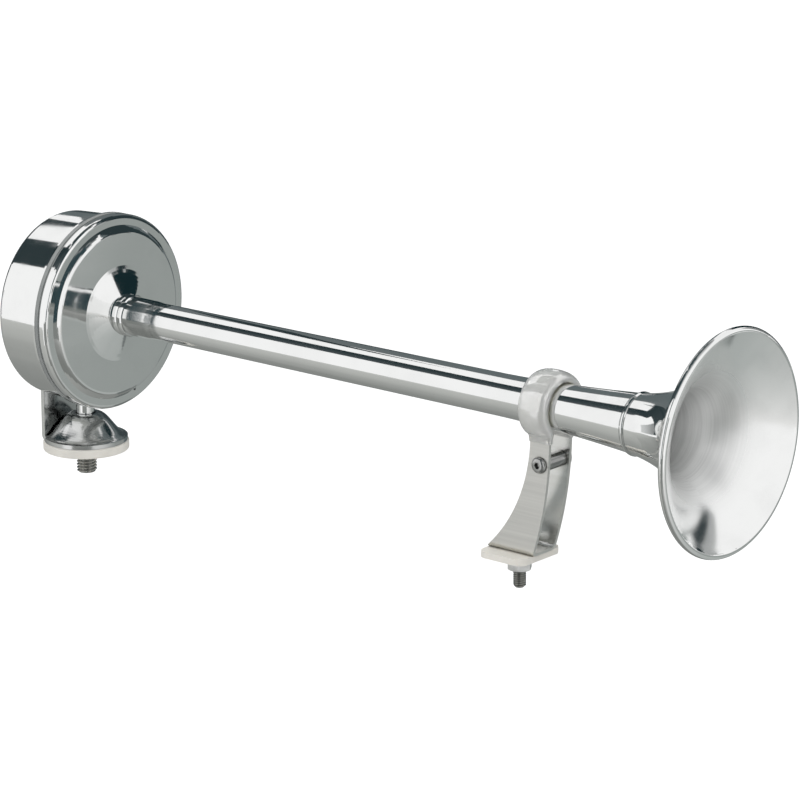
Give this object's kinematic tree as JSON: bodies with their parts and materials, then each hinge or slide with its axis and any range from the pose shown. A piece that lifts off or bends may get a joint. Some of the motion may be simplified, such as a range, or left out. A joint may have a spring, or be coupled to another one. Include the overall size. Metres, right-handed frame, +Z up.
{
  "type": "marine trumpet horn",
  "caption": "Electric trumpet horn for a boat: round polished power unit, long tube and flared bell on a domed rear foot and a sleeved clip.",
  "frame": {"origin": "rear stud's axis at the deck, on the underside of the rear pad", "axes": "+X along the horn from the drum to the bell, +Z up from the deck, +Y to the horn's left"},
  "size_m": [0.4063, 0.1, 0.1365],
  "materials": {
    "polished_steel": "mirror polished stainless steel",
    "satin_steel": "satin stainless sheet",
    "fastener_steel": "plain stainless fasteners",
    "stud_steel": "threaded steel, dull",
    "gasket_rubber": "smooth dark rubber",
    "pad_nylon": "off-white nylon",
    "soft_sleeve": "clear soft tubing, slightly milky",
    "soft_iron": "machined soft iron",
    "spring_steel": "spring steel sheet",
    "phenolic": "moulded phenolic",
    "copper_wire": "enamelled copper wire",
    "contact_brass": "sheet brass"
  },
  "bodies": {
    "horn": {"rear_housing": "polished_steel", "front_cover": "polished_steel", "throat_collar": "polished_steel", "throat_sleeve": "polished_steel", "horn_tube": "polished_steel", "joint_ring": "polished_steel", "bell": "polished_steel", "seam_gasket": "gasket_rubber", "front_gasket": "gasket_rubber", "rear_bracket": "satin_steel", "conduit_stud": "stud_steel", "back_washer": "fastener_steel", "back_nut": "fastener_steel", "contact_pin": "fastener_steel", "rear_pad": "pad_nylon", "seat_ring": "soft_iron", "clamp_ring": "soft_iron", "magnet_core": "soft_iron", "diaphragm": "spring_steel", "coil_bobbin": "phenolic", "contact_base": "phenolic", "coil_winding": "copper_wire", "contact_strip": "contact_brass", "adjusting_screw": "contact_brass"},
    "front_support": {"front_strap": "satin_steel", "clip_sleeve": "soft_sleeve", "leg_spacer": "fastener_steel", "clamp_screw": "fastener_steel", "clamp_nut": "fastener_steel", "mount_bolt": "stud_steel", "front_pad": "pad_nylon", "front_washer": "fastener_steel", "front_nut": "fastener_steel"},
    "armature_group": {"armature": "soft_iron", "stem_washer": "fastener_steel", "stem_nut": "fastener_steel"},
    "breaker": {"contact_arm": "contact_brass"}
  },
  "joints": [
    {"name": "clip_slide", "type": "slide", "parent": "horn", "child": "front_support", "axis": [1, 0, 0], "range_m": [-0.06, 0]},
    {"name": "armature_slide", "type": "slide", "parent": "horn", "child": "armature_group", "axis": [1, 0, 0], "range_m": [-0.0007, 0], "stiffness_N_per_m": 2000, "deforming": ["diaphragm"]},
    {"name": "breaker_hinge", "type": "hinge", "parent": "horn", "child": "breaker", "pos_m": [0.0066, 0.033, 0.0715], "axis": [0, 0, 1], "range_deg": [-2.6, 0]}
  ],
  "couplings": [
    {"joint": "breaker_hinge", "follows": "armature_slide", "rad_per_m": 60.6}
  ]
}
